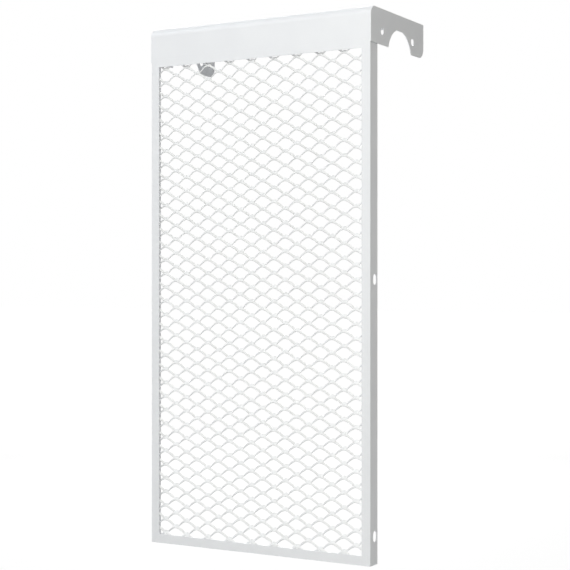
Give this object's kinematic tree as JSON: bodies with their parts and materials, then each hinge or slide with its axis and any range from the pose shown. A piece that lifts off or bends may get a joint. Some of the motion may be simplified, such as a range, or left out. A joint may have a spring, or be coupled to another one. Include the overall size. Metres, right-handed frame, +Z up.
{
  "type": "radiator cover",
  "caption": "White hanging steel radiator cover: rolled cap with notched cheek plates over a framed expanded metal net.",
  "frame": {"origin": "middle of the flat underside of the top sheet, which lies on the radiator, halfway across the cover", "axes": "+X along the cover's width to the right as seen from its front, +Y from the cover's front to the wall, +Z up"},
  "size_m": [0.29, 0.14, 0.61],
  "materials": {
    "powder_coat": "white satin powder coat on folded steel sheet, with a faint orange peel",
    "net_coat": "white satin powder coat on expanded steel, thinner on the strands' edges"
  },
  "bodies": {
    "root": {"top_cap": "powder_coat", "left_cheek": "powder_coat", "right_cheek": "powder_coat", "left_stile": "powder_coat", "right_stile": "powder_coat", "top_rail": "powder_coat", "bottom_rail": "powder_coat", "expanded_net": "net_coat"}
  },
  "joints": []
}
